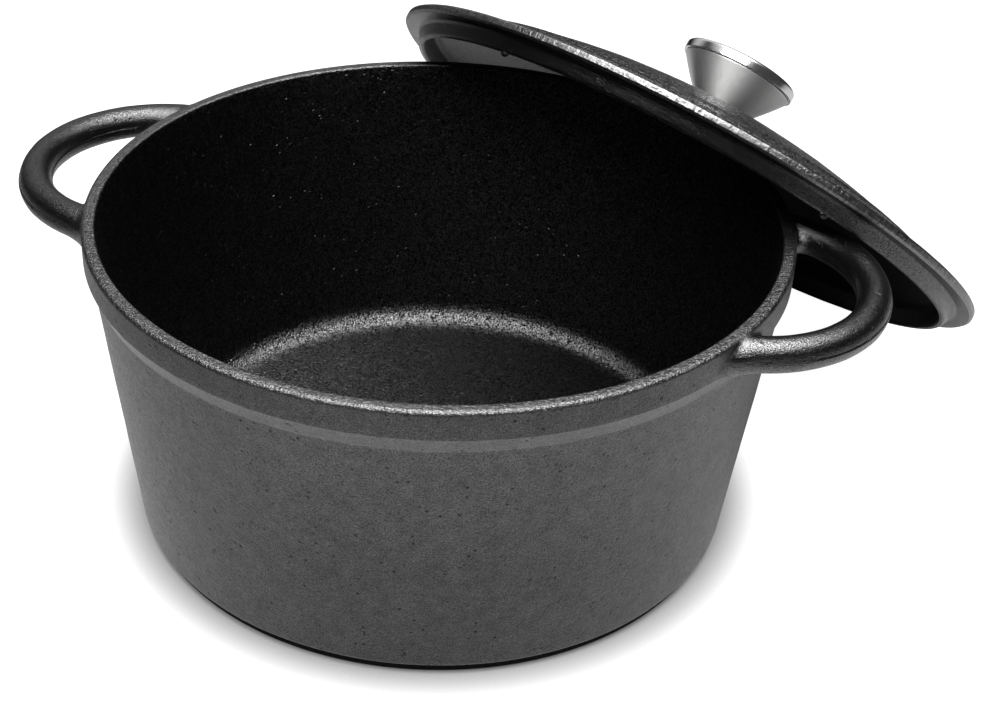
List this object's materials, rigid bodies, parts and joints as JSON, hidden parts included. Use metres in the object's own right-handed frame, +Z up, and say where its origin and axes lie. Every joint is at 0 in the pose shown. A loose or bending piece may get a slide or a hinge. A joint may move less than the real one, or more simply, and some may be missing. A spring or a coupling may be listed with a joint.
{
  "type": "cast iron dutch oven",
  "caption": "Round cast iron dutch oven with loop handles; its domed lid with a flared steel knob stands propped against the pot.",
  "frame": {"origin": "centre of the pot's flat underside", "axes": "+Z up; the loop handles lie along the X axis; +Y points to the back, where the lid leans"},
  "size_m": [0.3605, 0.3574, 0.1817],
  "materials": {
    "cast_iron": "fine sand-cast, dark grey, low sheen",
    "satin_steel": "satin turned",
    "polished_steel": "polished",
    "screw_steel": "bright zinc",
    "brass": "machined",
    "core": "moulded phenolic, matte",
    "seal": "silicone, matte"
  },
  "bodies": {
    "pot": {"pot": "cast_iron"},
    "lid": {"lid": "cast_iron", "knob_seal": "seal", "knob_shell": "satin_steel", "knob_core": "core", "knob_insert": "brass", "knob_cap": "polished_steel", "flat_washer": "screw_steel", "lock_washer": "screw_steel", "knob_screw": "screw_steel"}
  },
  "joints": [
    {"name": "lid_lift", "type": "slide", "parent": "pot", "child": "lid", "axis": [0.2811, 0.6171, 0.7349], "range_m": [0, 0.2]}
  ]
}
